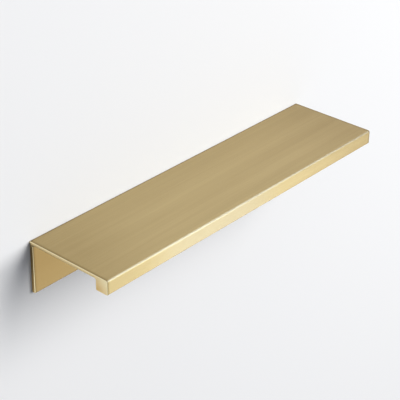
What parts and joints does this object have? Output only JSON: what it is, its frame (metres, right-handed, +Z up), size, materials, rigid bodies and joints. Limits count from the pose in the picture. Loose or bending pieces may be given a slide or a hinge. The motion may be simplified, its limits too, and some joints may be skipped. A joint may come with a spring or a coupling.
{
  "type": "tab pull",
  "caption": "Slim tab pull for a drawer or door: a thin ledge with a finger rail under its front edge and a flange behind that is screwed flat to the drawer front.",
  "frame": {"origin": "midway between the two screw holes, on the back face of the flange", "axes": "+X along the pull, -Y out of the drawer front towards the user, +Z up; the flange's back face lies on Y = 0"},
  "size_m": [0.1524, 0.0381, 0.0214],
  "materials": {
    "satin_brass": "satin, brushed along the length"
  },
  "bodies": {
    "root": {"tab_pull": "satin_brass"}
  },
  "joints": []
}
